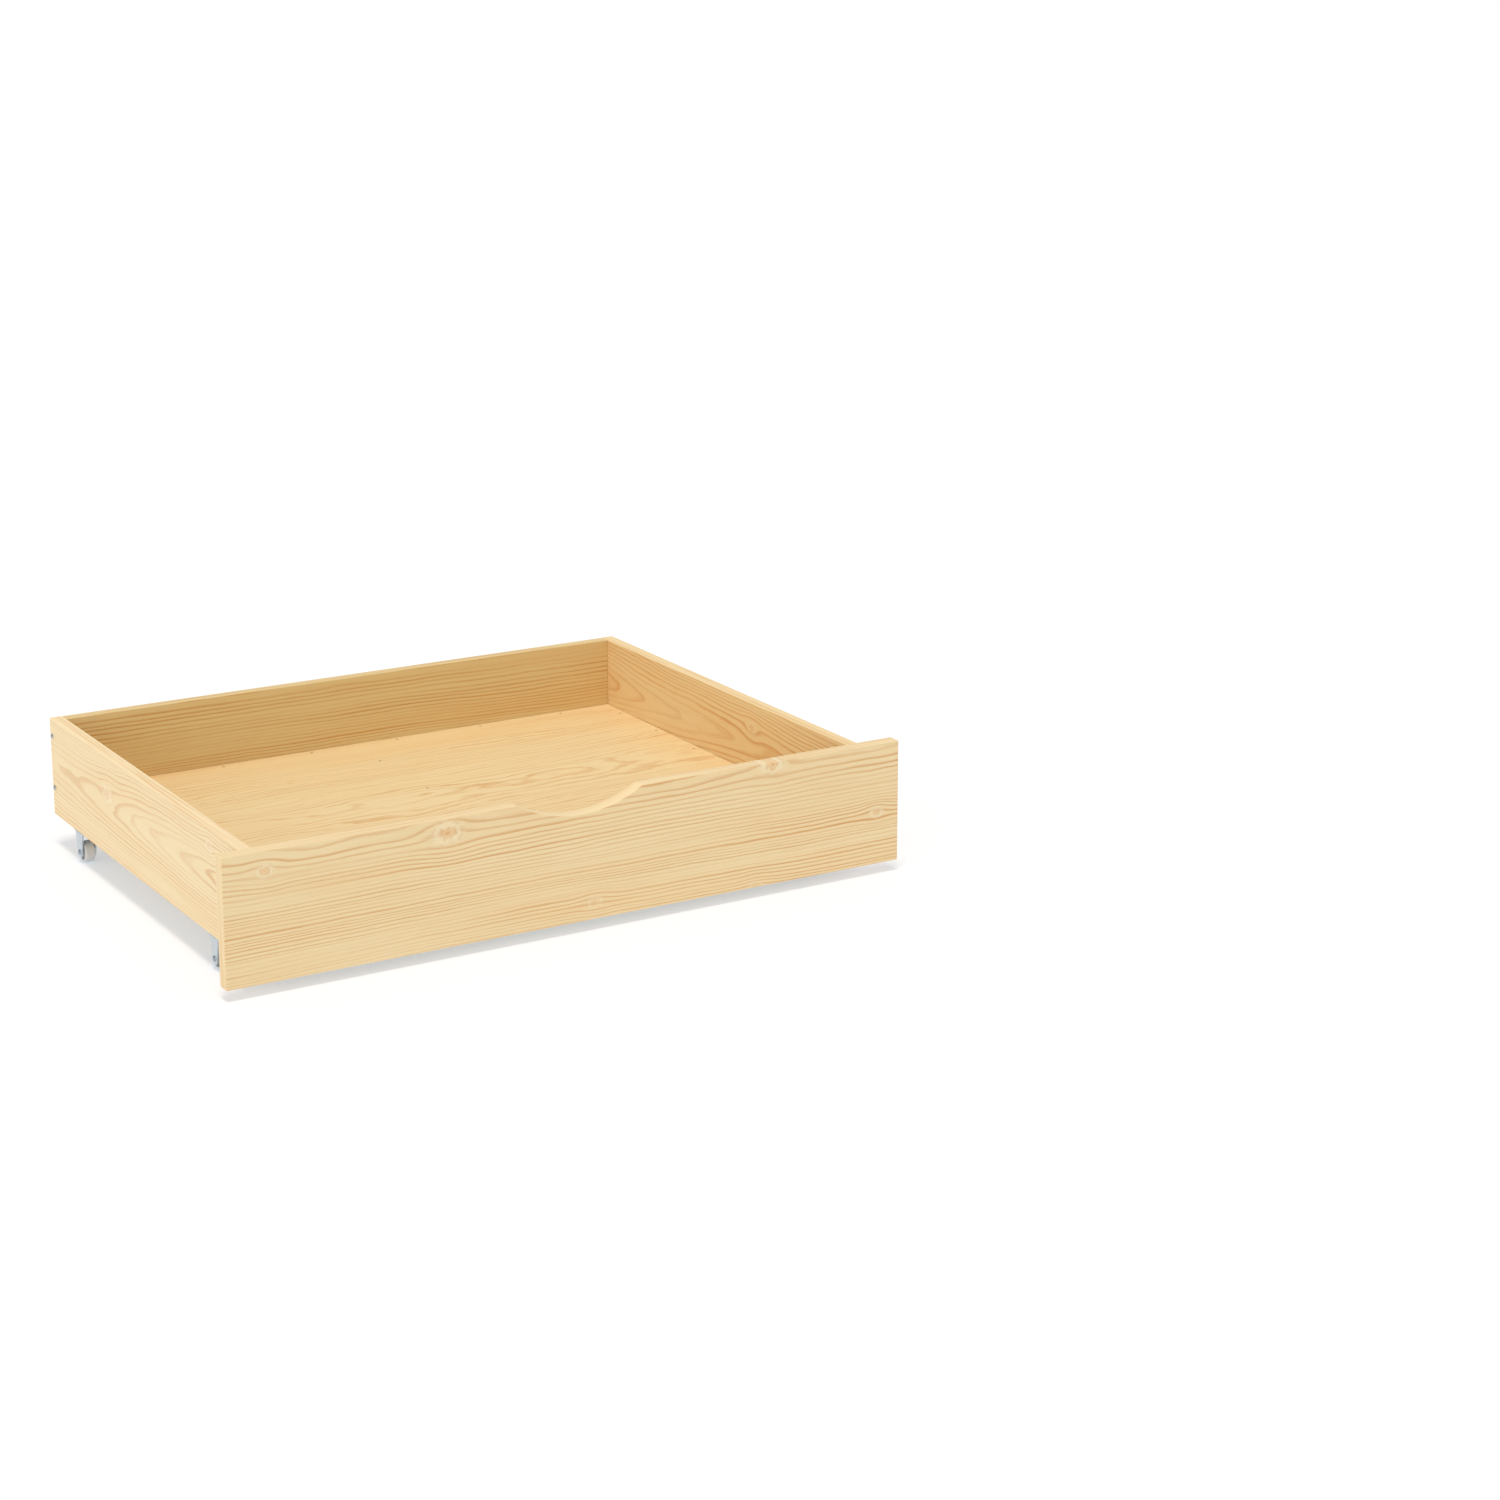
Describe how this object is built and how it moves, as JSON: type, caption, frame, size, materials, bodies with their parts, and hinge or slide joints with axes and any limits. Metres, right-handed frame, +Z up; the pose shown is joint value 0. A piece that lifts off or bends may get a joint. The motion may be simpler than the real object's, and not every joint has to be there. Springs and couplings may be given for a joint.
{
  "type": "under bed box",
  "caption": "Shallow open wooden storage drawer on fixed castors, rolled under a bed; a wide, deep front board with a finger scoop hides the wheels.",
  "frame": {"origin": "on the floor, under the middle of the box's bounding box", "axes": "+X to the right along the front board, +Y from the front board to the back, +Z up"},
  "size_m": [0.98, 0.71, 0.185],
  "materials": {
    "pine": "clear satin",
    "plywood": "clear satin",
    "spruce_batten": "planed, untreated",
    "beech": "fluted, untreated",
    "zinc_screw": "zinc plated",
    "zinc_sheet": "blue zinc plated",
    "zinc_cast": "as cast",
    "wheel_plastic": "moulded"
  },
  "bodies": {
    "box": {"front_panel": "pine", "left_side": "pine", "right_side": "pine", "back_panel": "pine", "bottom_panel": "plywood", "left_ledge": "spruce_batten", "right_ledge": "spruce_batten", "front_ledge": "spruce_batten", "back_ledge": "spruce_batten", "middle_rail": "spruce_batten", "front_dowels": "beech", "cam_bolts": "zinc_screw", "cam_nuts": "zinc_cast", "corner_screws": "zinc_screw", "ledge_screws": "zinc_screw", "rail_screws": "zinc_screw", "panel_nails": "zinc_screw", "castor_screws": "zinc_screw", "fork_front_left": "zinc_sheet", "fork_front_right": "zinc_sheet", "fork_back_left": "zinc_sheet", "fork_back_right": "zinc_sheet", "axle_front_left": "zinc_screw", "axle_front_right": "zinc_screw", "axle_back_left": "zinc_screw", "axle_back_right": "zinc_screw"},
    "front_left_wheel": {"wheel_front_left": "wheel_plastic"},
    "front_right_wheel": {"wheel_front_right": "wheel_plastic"},
    "back_left_wheel": {"wheel_back_left": "wheel_plastic"},
    "back_right_wheel": {"wheel_back_right": "wheel_plastic"}
  },
  "joints": [
    {"name": "front_left_spin", "type": "hinge", "parent": "box", "child": "front_left_wheel", "pos_m": [-0.4483, -0.2385, 0.015], "axis": [1, 0, 0], "continuous": true},
    {"name": "front_right_spin", "type": "hinge", "parent": "box", "child": "front_right_wheel", "pos_m": [0.4233, -0.2385, 0.015], "axis": [1, 0, 0], "continuous": true},
    {"name": "back_left_spin", "type": "hinge", "parent": "box", "child": "back_left_wheel", "pos_m": [-0.4483, 0.2585, 0.015], "axis": [1, 0, 0], "continuous": true},
    {"name": "back_right_spin", "type": "hinge", "parent": "box", "child": "back_right_wheel", "pos_m": [0.4233, 0.2585, 0.015], "axis": [1, 0, 0], "continuous": true}
  ]
}
